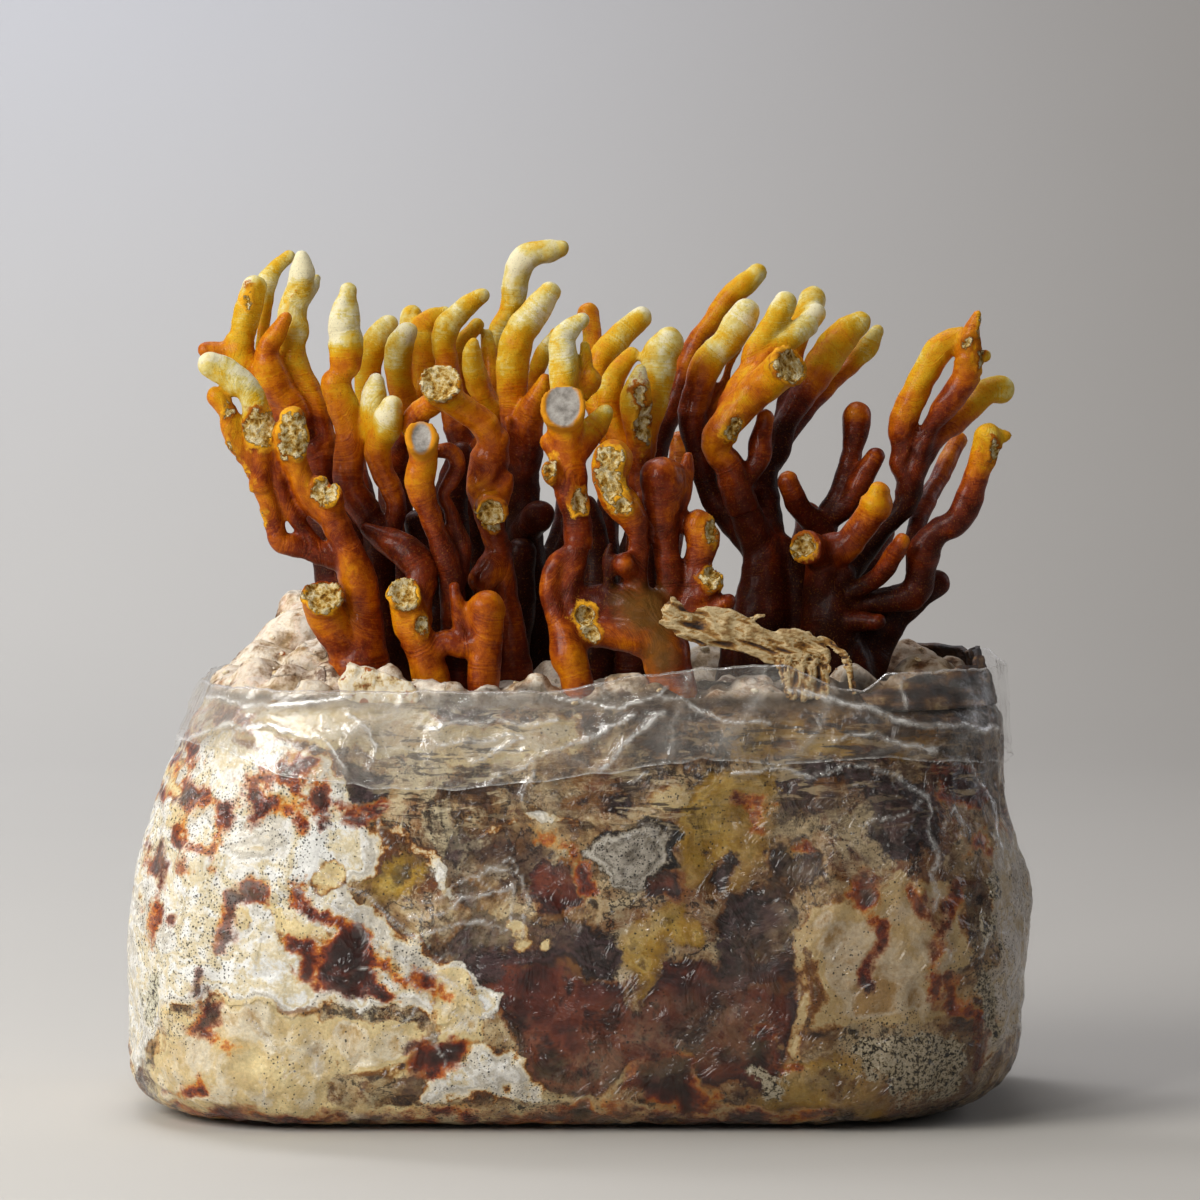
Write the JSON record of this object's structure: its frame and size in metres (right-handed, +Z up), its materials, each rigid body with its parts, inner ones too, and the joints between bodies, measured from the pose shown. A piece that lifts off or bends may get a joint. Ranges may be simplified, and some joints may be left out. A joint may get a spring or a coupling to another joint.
{
  "type": "reishi mushroom grow bag",
  "caption": "Block of colonised sawdust in a clear film bag with a folded-out cuff, with branching antler-shaped reishi growing from its open top.",
  "frame": {"origin": "on the surface that the bag stands on, under the middle of the bag", "axes": "+X to the right along the bag's broad side, +Y from the front to the back, +Z up"},
  "size_m": [0.2106, 0.1324, 0.2012],
  "materials": {
    "mycelium_block": "matt, with glossy brown patches",
    "clear_film": "clear and glossy",
    "dried_skin": "dry and fibrous",
    "antler_front": "satin, as if lacquered",
    "antler_back": "satin, as if lacquered",
    "antler_right": "satin, as if lacquered"
  },
  "bodies": {
    "root": {"substrate_block": "mycelium_block", "plastic_bag": "clear_film", "dried_skin_strip": "dried_skin", "antler_left_hand": "antler_front", "antler_left_stub": "antler_front", "antler_left_upper": "antler_front", "antler_left_pale": "antler_front", "antler_left_rear": "antler_back", "antler_centre_left": "antler_front", "antler_palm": "antler_front", "antler_centre_back": "antler_back", "antler_back_tall": "antler_back", "antler_centre_tall": "antler_front", "antler_front_arch": "antler_front", "antler_front_crown": "antler_front", "antler_centre_crown": "antler_front", "antler_rear_slender": "antler_back", "antler_right_trunk": "antler_right", "antler_right_cut_branch": "antler_right", "antler_right_pale_branch": "antler_right", "antler_right_outer_branch": "antler_right", "antler_far_trunk": "antler_right", "antler_far_low_branch": "antler_right", "antler_far_upper_branch": "antler_right", "antler_far_club_branch": "antler_right"}
  },
  "joints": []
}
